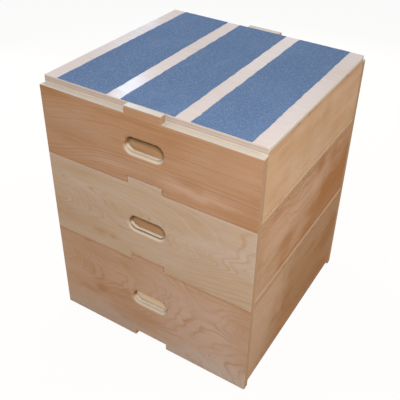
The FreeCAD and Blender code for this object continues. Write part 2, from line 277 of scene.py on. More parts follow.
def shade_group(name, inputs, outputs):
    """Starts a shader node group with named sockets: its graph, what it is given and its output node."""
    tree = bpy.data.node_groups.new(name, "ShaderNodeTree")
    for direction, sockets in (("INPUT", inputs), ("OUTPUT", outputs)):
        for socket, kind in sockets.items():
            tree.interface.new_socket(name=socket, in_out=direction, socket_type=f"NodeSocket{kind}")
    return Graph(tree), tree.nodes.new("NodeGroupInput").outputs, tree.nodes.new("NodeGroupOutput")


def figure_hill():
    """Height of one smooth hill in the growth rings, round which the figure curls."""
    graph, given, out = shade_group(
        "figure_hill", {"Vector": "Vector", "Centre": "Vector", "Reach": "Vector", "Height": "Float"},
        {"Height": "Float"})
    hill = graph.bell(given["Vector"], given["Centre"], given["Reach"])
    graph.feed(out, {"Height": graph.times(hill, given["Height"])})
    return graph.tree


def veneer_stain():
    """Amount of one ragged patch in a veneer: stained, bleached or painted bluish light."""
    graph, given, out = shade_group(
        "veneer_stain",
        {"Vector": "Vector", "Centre": "Vector", "Reach": "Vector", "Softness": "Float", "Ragged": "Float"},
        {"Amount": "Float"})
    waves = {"Vector": given["Vector"], "Scale": 22.0, "Detail": 4.0, "Roughness": 0.6}
    stray = graph.add("TexNoise", waves).outputs["Color"]
    strayed = graph.scale(graph.vector("SUBTRACT", stray, (0.5, 0.5, 0.5)), given["Ragged"])
    spot = graph.vector("ADD", given["Vector"], strayed)
    falling = graph.bell(spot, given["Centre"], given["Reach"])
    low = graph.math("SUBTRACT", 0.5, given["Softness"])
    high = graph.math("ADD", 0.5, given["Softness"])
    graph.feed(out, {"Amount": graph.remap(falling, low, high)})
    return graph.tree


def peeled_veneer():
    """Figure of peeled veneer: uneven contour lines and bands of growth rings, fibres, flecks and mottle.

    The vector runs along the grain, across it and through the board, in metres.
    """
    numbers = ("Hills", "Spacing", "Slope", "Wander", "Wander Size", "Stretch")
    results = ("Line", "Band", "Streak", "Fibre", "Fleck", "Mottle")
    graph, given, out = shade_group("peeled_veneer", {"Vector": "Vector", **dict.fromkeys(numbers, "Float")},
                                    dict.fromkeys(results, "Float"))
    along, across, through = graph.split(given["Vector"])
    apart = graph.times(through, 6.0)
    drawn = graph.combine(graph.math("DIVIDE", along, given["Stretch"]), across, apart)
    waves = ((1.0, 1.0), (3.1, 0.28), (9.7, 0.10))
    wander = -0.5 * sum(share for finer, share in waves)
    for finer, share in waves:
        size = graph.times(given["Wander Size"], finer)
        wander = graph.math("MULTIPLY_ADD", graph.noise(drawn, size, detail=1.0), share, wander)
    field = graph.math("MULTIPLY_ADD", wander, given["Wander"], given["Hills"])
    turn = graph.math("DIVIDE", graph.math("MULTIPLY_ADD", across, given["Slope"], field), given["Spacing"])
    uneven = graph.add("TexNoise", {"W": turn, "Scale": 0.45, "Detail": 1.0}, noise_dimensions="1D")
    turn = graph.math("MULTIPLY_ADD", uneven.outputs["Fac"], 2.2, turn)
    ring = graph.math("FRACT", turn)
    lot = graph.add("TexWhiteNoise", {"W": graph.math("FLOOR", turn)}, noise_dimensions="1D").outputs["Value"]
    late_wood = graph.remap(ring, 0.66, 0.96)
    new_ring = graph.remap(ring, 0.0, 0.12, 1.0, 0.0)
    faint = graph.remap(graph.noise(drawn, 11.0), 0.34, 0.60, 0.25, 1.0)
    strength = graph.times(faint, graph.remap(lot, 0.0, 0.9, 0.25, 1.0))
    line = graph.times(graph.math("MAXIMUM", late_wood, new_ring), strength)
    fibre = graph.noise(graph.stretch(given["Vector"], 18.0, 520.0, 60.0), 1.0, detail=3.0, roughness=0.6)
    streak = graph.noise(graph.stretch(given["Vector"], 5.0, 62.0, 20.0), 1.0, detail=3.0, roughness=0.55)
    pores = graph.noise(graph.stretch(given["Vector"], 70.0, 1100.0, 60.0), 1.0, detail=1.0)
    mottle = graph.noise(drawn, 8.0, detail=3.0, roughness=0.55)
    graph.feed(out, {"Line": line, "Band": lot, "Streak": streak, "Fibre": fibre, "Mottle": mottle,
                     "Fleck": graph.remap(pores, 0.66, 0.76)})
    return graph.tree


def ply_edge():
    """Cut edge of a board, by distance from its middle: dark plies, glue lines and where its faces begin."""
    graph, given, out = shade_group(
        "ply_edge", {"Vector": "Vector", "From Middle": "Float", "Thickness": "Float", "Plies": "Float"},
        {"Dark": "Float", "Joint": "Float", "Face": "Float", "Relief": "Float"})
    wobble = graph.math("SUBTRACT", graph.noise(given["Vector"], 30.0), 0.5)
    unsure = graph.math("MULTIPLY_ADD", wobble, 0.0009, given["From Middle"])
    ply = graph.math("DIVIDE", given["Thickness"], given["Plies"])
    layer = graph.math("ADD", graph.math("DIVIDE", unsure, ply), 0.5)
    odd = graph.math("MODULO", graph.math("FLOOR", layer), 2.0)
    place = graph.math("FRACT", layer)
    near_joint = graph.math("MINIMUM", place, graph.math("SUBTRACT", 1.0, place))
    grain = graph.noise(given["Vector"], 420.0, detail=3.0, roughness=0.65)
    streak = graph.noise(given["Vector"], 22.0, detail=3.0, roughness=0.55)
    faint = graph.remap(streak, 0.35, 0.65, 0.35, 1.0)
    joint = graph.times(graph.remap(near_joint, 0.04, 0.14, 1.0, 0.0), faint)
    uneven = graph.times(graph.math("SUBTRACT", grain, 0.5), 0.9)
    dark = graph.remap(graph.math("ADD", odd, uneven), 0.0, 1.0)
    half = graph.times(given["Thickness"], 0.5)
    depth = graph.math("SUBTRACT", half, given["From Middle"])
    relief = graph.math("MULTIPLY_ADD", joint, -0.8, graph.times(grain, 0.3))
    graph.feed(out, {"Dark": dark, "Joint": joint, "Relief": relief,
                     "Face": graph.remap(depth, 0.0011, 0.0019, 1.0, 0.0)})
    return graph.tree


def joint_grime():
    """Patchy soiling and painted shade along a joint, from the distance to it."""
    graph, given, out = shade_group(
        "joint_grime", {"Vector": "Vector", "Away": "Float", "Reach": "Float"}, {"Amount": "Float"})
    near = graph.remap(graph.math("DIVIDE", given["Away"], given["Reach"]), 0.0, 1.0, 1.0, 0.0)
    patches = graph.noise(graph.stretch(given["Vector"], 11.0, 30.0, 5.0), 1.0, detail=3.0, roughness=0.6)
    graph.feed(out, {"Amount": graph.times(near, graph.remap(patches, 0.50, 0.70, 0.10, 1.0))})
    return graph.tree


SOFT = 0.48
Patch = namedtuple("Patch", "along across reach_along reach_across amount soft dusty", defaults=(SOFT, False))
Figure = namedtuple("Figure", "spacing slope wander size stretch lines mottle seed hills stains streak flame",
                    defaults=((), (), 0.0, 0.0))
Tones = namedtuple("Tones", "pale dark glue")
Edges = namedtuple("Edges", "long end rim", defaults=(None,))

# How each board was peeled: how far apart its lines are, how they slope across the grain, wander and stretch,
# how strong lines, mottle and streaks are, its place in the log, and how long its flames are. Hills and
# patches lie along and across the grain, in metres. A patch is stained dark above zero and bleached below it;
# below zero and marked dusty, it is painted bluish light, greyer and bluer, near the front right corner and
# the foot
FIGURES = {
    "upper_front": Figure(
        spacing=0.0075, slope=1.0, wander=0.04, size=5.0, stretch=3.2, lines=0.5, mottle=0.7, seed=0.0,
        streak=0.4, flame=0.05, hills=(Patch(-0.33, 0.6, 0.16, 0.2, 0.045),),
        stains=(
            Patch(-0.27, 0.69, 0.08, 0.02, 0.6), Patch(0.13, 0.553, 0.09, 0.014, -0.9),
            Patch(0.08, 0.566, 0.035, 0.012, -0.5), Patch(0.21, 0.556, 0.04, 0.01, -0.4),
            Patch(-0.1, 0.553, 0.06, 0.012, -0.5), Patch(0.0, 0.588, 0.05, 0.01, -0.3),
            Patch(0.12, 0.58, 0.04, 0.012, 0.5), Patch(-0.2, 0.59, 0.1, 0.03, 0.3),
            # Painted bluish light, greyer and bluer towards the right
            Patch(0.2, 0.63, 0.13, 0.07, -0.18, dusty=True),
        ),
    ),
    "middle_front": Figure(
        spacing=0.011, slope=0.3, wander=0.03, size=7.0, stretch=2.2, lines=0.6, mottle=0.5, seed=3.1,
        streak=0.15, flame=0.14, hills=(
            Patch(-0.04, 0.405, 0.24, 0.085, 0.15), Patch(-0.42, 0.457, 0.34, 0.03, 0.1),
            Patch(-0.42, 0.35, 0.38, 0.03, 0.1), Patch(0.12, 0.425, 0.1, 0.014, 0.02),
            Patch(0.12, 0.378, 0.1, 0.014, 0.02),
        ),
        stains=(
            Patch(-0.145, 0.325, 0.025, 0.012, 0.6), Patch(-0.105, 0.325, 0.012, 0.008, 0.6),
            Patch(-0.25, 0.34, 0.1, 0.04, 0.3),
        ),
    ),
    "lower_front": Figure(
        spacing=0.015, slope=0.0, wander=0.08, size=6.0, stretch=1.4, lines=0.58, mottle=0.6, seed=7.4,
        streak=0.15, flame=0.09, hills=(
            Patch(-0.13, 0.17, 0.29, 0.16, 0.2), Patch(0.31, 0.205, 0.1, 0.06, 0.12),
            Patch(-0.33, 0.215, 0.12, 0.09, 0.18), Patch(0.16, 0.01, 0.09, 0.04, 0.07),
            Patch(-0.2, 0.0, 0.3, 0.08, -0.1),
        ),
        stains=(
            Patch(-0.16, 0.12, 0.022, 0.02, 0.8), Patch(-0.2, 0.095, 0.045, 0.012, 0.6),
            Patch(-0.19, 0.275, 0.015, 0.006, 0.8), Patch(0.16, 0.15, 0.12, 0.1, -0.3),
            # The patches marked dusty on this line and the next are painted bluish light, greyer and bluer
            # along the foot
            Patch(0.18, 0.14, 0.14, 0.09, -0.2, dusty=True), Patch(0.2, 0.0, 0.2, 0.075, -1.0, dusty=True),
            Patch(-0.16, 0.005, 0.18, 0.065, -0.6, dusty=True), Patch(-0.17, 0.25, 0.14, 0.03, 0.25),
        ),
    ),
    "upper_side": Figure(
        spacing=0.012, slope=0.8, wander=0.04, size=4.0, stretch=2.4, lines=0.22, mottle=0.85, seed=1.7,
        streak=0.2, stains=(
            Patch(-0.2, 0.62, 0.1, 0.05, -0.2), Patch(-0.1, 0.55, 0.22, 0.03, -0.4),
            Patch(-0.03, 0.66, 0.1, 0.03, 0.2), Patch(0.02, 0.69, 0.25, 0.03, -0.3),
            Patch(0.2, 0.64, 0.12, 0.08, -0.4), Patch(-0.17, 0.64, 0.035, 0.15, 0.13),
            Patch(-0.06, 0.6, 0.03, 0.15, 0.1), Patch(0.04, 0.63, 0.025, 0.15, 0.13),
            Patch(0.13, 0.62, 0.03, 0.15, 0.1),
        ),
    ),
    "middle_side": Figure(
        spacing=0.016, slope=0.45, wander=0.085, size=6.0, stretch=1.3, lines=0.42, mottle=0.9, seed=5.2,
        streak=0.5, stains=(
            Patch(-0.16, 0.44, 0.16, 0.05, -0.5), Patch(0.08, 0.45, 0.1, 0.025, -0.25),
            Patch(0.27, 0.35, 0.29, 0.12, 1.0, 0.2), Patch(0.29, 0.42, 0.09, 0.06, 0.7, 0.3),
            Patch(0.03, 0.315, 0.06, 0.025, 1.0), Patch(0.06, 0.495, 0.03, 0.022, 1.0),
            Patch(0.15, 0.48, 0.03, 0.03, 0.7), Patch(-0.12, 0.37, 0.05, 0.03, 0.7),
            Patch(-0.135, 0.315, 0.018, 0.008, 1.0), Patch(-0.06, 0.31, 0.05, 0.012, 0.7),
            # The last patch on this line is painted bluish light near the front corner
            Patch(-0.19, 0.5, 0.03, 0.012, 0.6), Patch(-0.27, 0.34, 0.12, 0.07, -0.3, dusty=True),
        ),
    ),
    "lower_side": Figure(
        spacing=0.014, slope=0.8, wander=0.05, size=4.5, stretch=2.0, lines=0.28, mottle=0.8, seed=9.3,
        streak=0.3, stains=(
            # The first patch makes the side paler near its front corner, up to a diagonal edge, so it is
            # darker towards the back
            Patch(-0.34, 0.42, 0.35, 0.5, -1.0, 0.14), Patch(0.1, 0.1, 0.3, 0.12, 0.4),
            Patch(0.07, 0.215, 0.05, 0.012, 0.5), Patch(-0.14, 0.125, 0.02, 0.012, 0.5),
            # Painted bluish light near the front corner and the foot
            Patch(-0.27, 0.1, 0.12, 0.11, -0.25, dusty=True),
        ),
    ),
    "upper_top": Figure(
        spacing=0.012, slope=0.9, wander=0.04, size=5.0, stretch=3.0, lines=0.12, mottle=0.2, seed=4.2,
    ),
    "middle_top": Figure(
        spacing=0.013, slope=0.5, wander=0.05, size=5.0, stretch=2.2, lines=0.45, mottle=0.55, seed=3.2,
        streak=0.3, hills=(Patch(0.05, 0.02, 0.26, 0.1, 0.1),),
    ),
    "lower_top": Figure(
        spacing=0.014, slope=0.7, wander=0.05, size=4.5, stretch=2.6, lines=0.45, mottle=0.6, seed=2.2,
        streak=0.3, hills=(Patch(-0.1, -0.06, 0.22, 0.12, 0.12),),
    ),
}

# How far painted shade darkens a panel above its foot and under its shoulder, where the boxes meet. Below
# zero, a painted highlight makes it paler there
SEAM_LIGHT_AND_SHADE = {
    "lower_front": (0.2, 0.45), "middle_front": (0.05, -0.30), "upper_front": (0.5, 0.0),
    "lower_side": (0.2, 0.35), "middle_side": (0.1, 0.35), "upper_side": (0.25, 0.30),
}


def other_side(figure):
    """A figure for the opposite board, peeled from further round the log."""
    hills = tuple(hill._replace(along=-hill.along, amount=hill.amount * 0.8) for hill in figure.hills)
    stains = tuple(stain._replace(along=-stain.along - 0.06, amount=stain.amount * 0.6, soft=SOFT)
                   for stain in figure.stains)
    return figure._replace(seed=figure.seed + 0.6, hills=hills, stains=stains)


def opaque(colour, *shares):
    """A colour for a shader socket, each channel times its share."""
    shares = shares or (1.0, 1.0, 1.0)
    return tuple(min(1.0, channel * share) for channel, share in zip(colour, shares)) + (1.0,)


def tones(wood, kind, dark=None):
    return Tones(opaque(getattr(wood, f"{kind}_pale")), opaque(dark or getattr(wood, f"{kind}_dark")),
                 opaque(getattr(wood, f"{kind}_glue")))


def shared_group(make):
    """A node group, made the first time that it is asked for."""
    return bpy.data.node_groups.get(make.__name__) or make()


def new_material(name):
    material = bpy.data.materials.new(name)
    material.use_nodes = True
    return material, Graph(material.node_tree), material.node_tree.nodes["Principled BSDF"]


def edge_colour(graph, edge, shades):
    plies = graph.mix(edge["Dark"], shades.pale, shades.dark)
    return graph.mix(graph.times(edge["Joint"], 0.8), plies, shades.glue)


class Board:
    """A plywood board's material, with the places and directions that its colours depend on.

    axes are the numbers of the axes along the grain, across it and through the board.
    """

    def __init__(self, node, colour, figure, axes, wood):
        self.colour = colour
        self.figure = figure
        self.wood = wood
        self.low, self.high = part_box(node)
        self.material, self.graph, self.shader = new_material(f"{node}_ply")
        coordinates = self.graph.add("TexCoord").outputs
        self.place = self.graph.split(coordinates["Object"])
        self.facing = self.graph.split(coordinates["Normal"])
        self.along, self.across, self.through = (self.place[axis] for axis in axes)
        self.middle = (self.low[axes[2]] + self.high[axes[2]]) / 2
        self.from_middle = self.graph.away(self.through, self.middle)
        self.peeled = self.graph.math("ADD", self.through, figure.seed)
        self.spot = self.graph.combine(self.along, self.across, self.peeled)

    def shade(self, shares):
        return opaque(self.colour, *shares)

    def turned(self, axis, low, high):
        """How far the surface faces along an axis, either way."""
        return self.graph.remap(self.graph.math("ABSOLUTE", self.facing[axis]), low, high)

    def outward(self):
        """Distance from the board's middle towards the outside of the box."""
        inner = self.graph.math("SUBTRACT", self.through, self.middle)
        return self.graph.times(inner, math.copysign(1.0, self.middle))


def face_veneer(board):
    """Figure of a board's face veneer, pulled into flames along the grain."""
    graph, figure = board.graph, board.figure
    jag = graph.noise(graph.stretch(board.spot, 1.6, 19.0, 1.0), 1.0, detail=1.0, roughness=0.4)
    jagged = graph.math("MULTIPLY_ADD", graph.math("SUBTRACT", jag, 0.5), figure.flame, board.along)
    flat = graph.combine(jagged, board.across, 0.0)
    hills = 0.0
    for hill in figure.hills:
        raised = graph.group(shared_group(figure_hill), {
            "Vector": flat, "Centre": (hill.along, hill.across, 0.0),
            "Reach": (hill.reach_along, hill.reach_across, 1.0), "Height": hill.amount})
        hills = graph.math("ADD", raised["Height"], hills)
    return graph.group(shared_group(peeled_veneer), {
        "Vector": graph.combine(jagged, board.across, board.peeled), "Hills": hills,
        "Spacing": figure.spacing, "Slope": figure.slope, "Wander": figure.wander,
        "Wander Size": figure.size, "Stretch": figure.stretch})


def add_stain(board, face, stain):
    """Lays one patch on a face: stained dark, bleached, or painted bluish light."""
    graph = board.graph
    amount = graph.group(shared_group(veneer_stain), {
        "Vector": board.spot, "Centre": (stain.along, stain.across, board.middle + board.figure.seed),
        "Reach": (stain.reach_along, stain.reach_across, 1.0), "Softness": stain.soft,
        "Ragged": stain.reach_along * 0.4})["Amount"]
    # Patches marked dusty take painted bluish light, greyer and bluer
    lighter = BLUISH_LIGHT if stain.dusty else BLEACHED
    shade = board.shade(DEEP if stain.amount > 0 else lighter)
    return graph.mix(graph.times(amount, abs(stain.amount)), face, shade)


def face_colour(board, veneer):
    """Colour of a board's face, from the figure of its veneer and its stained, bleached and painted-light
    patches.
    """
    graph, figure = board.graph, board.figure
    deep = board.shade(DEEP)
    pale = board.shade(PALE)
    face = opaque(board.colour)
    face = graph.tint(face, veneer["Mottle"], 0.48, 0.72, figure.mottle, deep)
    face = graph.tint(face, veneer["Mottle"], 0.50, 0.28, figure.mottle, pale)
    face = graph.tint(face, veneer["Streak"], 0.52, 0.70, figure.streak, deep)
    face = graph.tint(face, veneer["Streak"], 0.48, 0.30, figure.streak, pale)
    for stain in figure.stains:
        face = add_stain(board, face, stain)
    face = graph.mix(graph.times(veneer["Band"], figure.lines * 0.6), face, pale)
    face = graph.mix(graph.times(veneer["Line"], figure.lines), face, board.shade(LATE_WOOD))
    face = graph.tint(face, veneer["Fibre"], 0.50, 0.74, 0.30, pale)
    face = graph.tint(face, veneer["Fibre"], 0.48, 0.26, 0.30, deep)
    return graph.mix(graph.times(veneer["Fleck"], 0.25), face, board.shade(PORES))


def wear_seams(board, face, seam_light_and_shade, tabbed):
    """Paints shade on a face, or a highlight under its shoulder, along its foot and shoulder, which step up
    at a tab.
    """
    graph = board.graph
    foot, head = seam_light_and_shade
    step = 0.0
    shoulder = board.high.z
    if tabbed:
        at_tab = graph.math("LESS_THAN", graph.math("ABSOLUTE", board.along), NOTCH_HALF)
        step = graph.times(at_tab, NOTCH_DEPTH)
        shoulder -= board.wood.thickness
    above_foot = graph.math("SUBTRACT", graph.math("SUBTRACT", board.across, board.low.z), step)
    below_head = graph.math("SUBTRACT", graph.math("ADD", step, shoulder), board.across)
    # Painted shade in narrow bands just above the foot and just under the shoulder, or a painted highlight
    # under the shoulder
    near_foot = graph.remap(graph.math("ABSOLUTE", above_foot), 0.001, 0.005, foot, 0.0)
    near_head = graph.remap(graph.away(below_head, 0.0035), 0.001, 0.006, abs(head), 0.0)
    face = graph.mix(near_foot, face, board.shade(DEEP))
    return graph.mix(near_head, face, board.shade(DEEP if head > 0 else PALE))


def rim_colour(board, rim, face, edge):
    """Colour inside a hand hole: plies along its sill, its inner half brightened as painted light, and end
    grain on its round ends, also used as painted shade on its downward-facing top.
    """
    graph = board.graph
    outward = board.outward()
    upward = board.facing[2]
    near_cross = graph.remap(graph.away(outward, CROSS_PLY), 0.0008, 0.0030, 1.0, 0.0)
    cross = graph.times(near_cross, graph.remap(upward, 0.15, 0.75))
    # Painted light: the inner part of the sill, which the hole's walls shade, is brightened
    plies = graph.mix(graph.remap(outward, 0.0025, 0.0045), opaque(rim.pale, *INNER_SILL_LIGHT), rim.pale)
    sill = graph.mix(cross, plies, rim.dark)
    end_grain_and_shade = graph.mix(edge["Dark"], rim.glue, opaque(rim.glue, *DARK_END))
    end_grain_and_shade = graph.mix(graph.remap(outward, 0.0030, 0.0055), end_grain_and_shade, face)
    # Faces turned sideways or down take the dark end-grain tones: real on the round ends, painted shade on
    # the hole's downward-facing top
    return graph.mix(graph.remap(upward, 0.05, 0.55), end_grain_and_shade, sill)


def inside_hole(board, hole):
    """Marks the part of a board round its hand hole, whose middle is at a height."""
    graph = board.graph
    along = graph.math("LESS_THAN", graph.math("ABSOLUTE", board.along), HOLE_HALF_LENGTH)
    across = graph.math("LESS_THAN", graph.away(board.across, hole), HOLE_HALF_HEIGHT)
    return graph.times(along, across)


def holed_skin(board, skin, inside):
    """Where veneer shows on a board with a hand hole: not in the hole, nor round its edges' inner side."""
    graph = board.graph
    half = board.wood.thickness / 2
    skin = graph.blend(inside, skin, graph.remap(board.from_middle, half - 0.0009, half - 0.0002))
    outer = graph.remap(board.outward(), -0.006, -0.005)
    return graph.times(skin, graph.math("MAXIMUM", board.turned(2, 0.7, 0.3), outer))


def wear_joint(board, surface, sides, arris_shade, joint):
    """Paints light and shade on a top panel's edges, and soiling with painted shade along the joint that it
    lies on.
    """
    graph, wood = board.graph, board.wood
    height = board.place[2]
    upward = board.facing[2]
    outer = board.turned(0, 0.5, 0.8)
    front = board.turned(1, 0.2, 0.5)
    surface = graph.mix(outer, surface, sides)
    # Painted light: the shaded groove along the lower front and back arris, just above the underside, takes
    # the pale ply colour
    groove_light = graph.remap(height, joint + 0.0030, joint + 0.0045, 0.6, 0.0)
    surface = graph.mix(graph.times(groove_light, front), surface, opaque(wood.long_pale))
    # Painted shade: darkens the rounded arris along the front and back edges, toning down the highlight that
    # it catches
    arris = graph.times(graph.remap(upward, 0.1, 0.3), graph.remap(upward, 0.97, 0.85))
    rounded = graph.times(arris, graph.times(front, 0.8))
    surface = graph.mix(rounded, surface, arris_shade)
    # Darker towards the underside on the panel's ends, in the seam glue tone: painted shade of the joint
    # below, with soiling
    lower = graph.remap(height, joint + 0.001, joint + 0.018, 0.95, 0.0)
    surface = graph.mix(graph.times(lower, outer), surface, opaque(wood.seam_glue))
    # Patchy dark brown in the crease along the joint: soiling and painted shade
    grime = graph.group(shared_group(joint_grime), {
        "Vector": board.spot, "Away": graph.away(height, joint + DIRT_AND_SHADE_HEIGHT), "Reach": DIRT_AND_SHADE_REACH})["Amount"]
    dirt_and_shade_share = graph.times(grime, graph.times(outer, 0.5))
    return graph.mix(dirt_and_shade_share, surface, opaque(wood.grime))


def plywood(node, colour, figure, axes, edges, wood, hole=None, joint=None, coat=0.05, gloss_level=0.0,
            seam_light_and_shade=None):
    """Varnished plywood for one board: figured veneer on its faces, plies on its edges.

    hole is the height of a hand hole's middle, and joint that of a top panel's underside.
    """
    board = Board(node, colour, figure, axes, wood)
    graph = board.graph
    veneer = face_veneer(board)
    face = face_colour(board, veneer)
    if seam_light_and_shade is not None:
        face = wear_seams(board, face, seam_light_and_shade, tabbed=hole is not None)
    edge = graph.group(shared_group(ply_edge), {
        "Vector": board.spot, "From Middle": board.from_middle, "Thickness": wood.thickness,
        "Plies": float(wood.ply_count)})
    ends = board.turned(axes[0], 0.5, 0.8)
    sides = graph.mix(ends, edge_colour(graph, edge, edges.long), edge_colour(graph, edge, edges.end))
    skin = edge["Face"]
    if hole is not None:
        inside = inside_hole(board, hole)
        sides = graph.mix(inside, sides, rim_colour(board, edges.rim, face, edge))
        skin = holed_skin(board, skin, inside)
    surface = graph.mix(skin, sides, face)
    if joint is not None:
        surface = wear_joint(board, surface, sides, edges.long.dark, joint)
    gloss = graph.math("MULTIPLY_ADD", veneer["Fibre"], 0.18, 0.34)
    sealed = graph.blend(ends, 0.4, 0.0)
    varnish = graph.remap(veneer["Streak"], 0.35, 0.65, coat * 0.45, coat * 1.15)
    height = graph.blend(edge["Face"], edge["Relief"], veneer["Fibre"])
    bump = graph.add("Bump", {"Strength": 0.12, "Distance": 0.0006, "Height": height})
    graph.feed(board.shader, {
        "Base Color": surface, "Roughness": graph.blend(edge["Face"], 0.60, gloss),
        "Normal": bump.outputs["Normal"], "Specular IOR Level": gloss_level,
        "Coat Weight": graph.blend(edge["Face"], sealed, varnish), "Coat Roughness": 0.2})
    return board.material


def hand_hole_height(box):
    """Height of the middle of a box's hand holes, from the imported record."""
    openings = {opening["name"]: opening["box_m"] for opening in frame["record"]["physics"]["openings"]}
    low, high = openings[f"{box}_front_hand_hole"]
    return (low[2] + high[2]) / 2


def dress(node, material):
    """Gives a CAD node its finish."""
    slots = frame["nodes"][node].data.materials
    slots.clear()
    slots.append(material)


class JUMPBOX_OT_front_panels(bpy.types.Operator):
    """Finish the front and back panels"""
    bl_idname = "jumpbox.front_panels"
    bl_label = "Front and Back Panels"

    def execute(self, context):
        wood = context.scene.jumpbox_wood
        for box in BOXES:
            rim = getattr(wood, f"{box}_rim")
            edges = Edges(tones(wood, "long"), tones(wood, "end"), tones(wood, "rim", rim))
            figure = FIGURES[f"{box}_front"]
            for wall, shown in (("front", figure), ("back", other_side(figure))):
                node = f"{box}_box_{wall}_panel"
                dress(node, plywood(node, getattr(wood, f"{box}_front"), shown, (0, 2, 1), edges, wood,
                                    hole=hand_hole_height(box), seam_light_and_shade=SEAM_LIGHT_AND_SHADE[f"{box}_front"]))
        return {"FINISHED"}


class JUMPBOX_OT_side_panels(bpy.types.Operator):
    """Finish the left and right panels"""
    bl_idname = "jumpbox.side_panels"
    bl_label = "Side Panels"

    def execute(self, context):
        wood = context.scene.jumpbox_wood
        edges = Edges(tones(wood, "long"), tones(wood, "end"))
        for box in BOXES:
            figure = FIGURES[f"{box}_side"]
            for wall, shown in (("right", figure), ("left", other_side(figure))):
                node = f"{box}_box_{wall}_panel"
                dress(node, plywood(node, getattr(wood, f"{box}_side"), shown, (1, 2, 0), edges, wood,
                                    seam_light_and_shade=SEAM_LIGHT_AND_SHADE[f"{box}_side"]))
        return {"FINISHED"}


class JUMPBOX_OT_top_panels(bpy.types.Operator):
    """Finish the top panels"""
    bl_idname = "jumpbox.top_panels"
    bl_label = "Top Panels"

    def execute(self, context):
        wood = context.scene.jumpbox_wood
        for box in BOXES:
            node = f"{box}_box_top_panel"
            edges = Edges(tones(wood, "top"), tones(wood, "long" if box == "upper" else "seam"))
            coat, gloss_level = (0.6, 0.2) if box == "upper" else (0.1, 0.05)
            finish = plywood(node, getattr(wood, f"{box}_top"), FIGURES[f"{box}_top"], (0, 1, 2), edges, wood,
                             joint=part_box(node)[0].z, coat=coat, gloss_level=gloss_level)
            dress(node, finish)
        return {"FINISHED"}


def softwood(name, axis, wood):
    """Planed softwood whose growth rings run along one axis."""
    material, graph, shader = new_material(name)
    place = graph.add("TexCoord").outputs["Object"]
    drawn = graph.stretch(place, *(0.12 if number == axis else 1.0 for number in range(3)))
    bent = graph.times(graph.noise(drawn, 9.0), 0.05)
    parts = graph.split(place)
    first, second = (parts[number] for number in range(3) if number != axis)
    slope = graph.math("MULTIPLY_ADD", second, 0.6, first)
    ring = graph.math("FRACT", graph.times(graph.math("ADD", slope, bent), 260.0))
    streaks = graph.noise(drawn, 420.0, detail=3.0, roughness=0.6)
    rings = graph.tint(opaque(wood.batten), ring, 0.35, 0.95, 0.7, opaque(wood.batten_ring))
    colour = graph.tint(rings, streaks, 0.45, 0.75, 0.35, opaque(wood.batten, 1.1, 1.12, 1.15))
    bump = graph.add("Bump", {"Strength": 0.15, "Distance": 0.0005, "Height": streaks})
    graph.feed(shader, {"Base Color": colour, "Roughness": graph.remap(streaks, 0.3, 0.7, 0.55, 0.75),
                        "Normal": bump.outputs["Normal"], "Specular IOR Level": 0.3})
    return material


def zinc(wood):
    """Zinc-plated steel with a patchy bloom."""
    material, graph, shader = new_material("screw_zinc")
    place = graph.add("TexCoord").outputs["Object"]
    bloom = graph.noise(place, 600.0, detail=3.0, roughness=0.6)
    colour = graph.mix(graph.remap(bloom, 0.35, 0.7), opaque(wood.screw), opaque(wood.screw, 0.7, 0.7, 0.72))
    graph.feed(shader, {"Base Color": colour, "Roughness": graph.remap(bloom, 0.3, 0.7, 0.28, 0.48),
                        "Metallic": 1.0})
    return material


class JUMPBOX_OT_battens(bpy.types.Operator):
    """Finish the ledgers, corner blocks and screws"""
    bl_idname = "jumpbox.battens"
    bl_label = "Battens and Screws"

    def execute(self, context):
        wood = context.scene.jumpbox_wood
        across_wood, deep_wood, upright_wood = (softwood(name, axis, wood) for axis, name in enumerate(
            ("ledger_across", "ledger_deep", "block_upright")))
        steel = zinc(wood)
        for box in BOXES:
            for wall in WALLS:
                dress(f"{box}_box_{wall}_ledger", across_wood if wall in ("front", "back") else deep_wood)
            for corner in CORNERS:
                dress(f"{box}_box_{corner}_block", upright_wood)
            for group in ("block_screws", "ledger_screws"):
                dress(f"{box}_box_{group}", steel)
        return {"FINISHED"}


def grip_coat(grip):
    """Gritty coat: packed grains, pale flecks and scuffed patches."""
    material, graph, shader = new_material("grip_coat")
    place = graph.add("TexCoord").outputs["Object"]
    grain = graph.add("TexVoronoi", {"Vector": place, "Scale": 620.0}).outputs
    grit = graph.noise(place, 700.0, detail=2.0)
    lighter = graph.noise(graph.stretch(place, 1.0, 0.5, 1.0), 14.0, detail=4.0, roughness=0.6)
    # Painted shade: darker towards the hollows between the grains
    packed = graph.mix(graph.remap(grain["Distance"], 0.25, 0.75), opaque(grip.coat, 1.08, 1.08, 1.06),
                       opaque(grip.shade))
    scuffed = graph.tint(packed, lighter, 0.40, 0.72, 0.30, opaque(grip.coat, 1.25, 1.22, 1.16))
    blotch = graph.noise(place, 150.0, detail=3.0, roughness=0.6)
    scuffed = graph.tint(scuffed, blotch, 0.50, 0.72, 0.8, opaque(grip.coat, 1.20, 1.08, 1.02))
    scuffed = graph.tint(scuffed, blotch, 0.50, 0.28, 0.8, opaque(grip.coat, 0.76, 0.92, 1.0))
    lot = graph.split(grain["Color"])[0]
    fleck = graph.times(graph.math("GREATER_THAN", lot, 0.93), graph.remap(grit, 0.45, 0.6))
    colour = graph.mix(graph.times(fleck, 0.6), scuffed, opaque(grip.fleck))
    height = graph.math("MULTIPLY_ADD", grit, 0.5, graph.times(grain["Distance"], -1.0))
    bump = graph.add("Bump", {"Strength": 0.5, "Distance": 0.0006, "Height": height})
    graph.feed(shader, {"Base Color": colour, "Roughness": graph.remap(grit, 0.3, 0.7, 0.70, 0.95),
                        "Normal": bump.outputs["Normal"], "Specular IOR Level": 0.3})
    return material


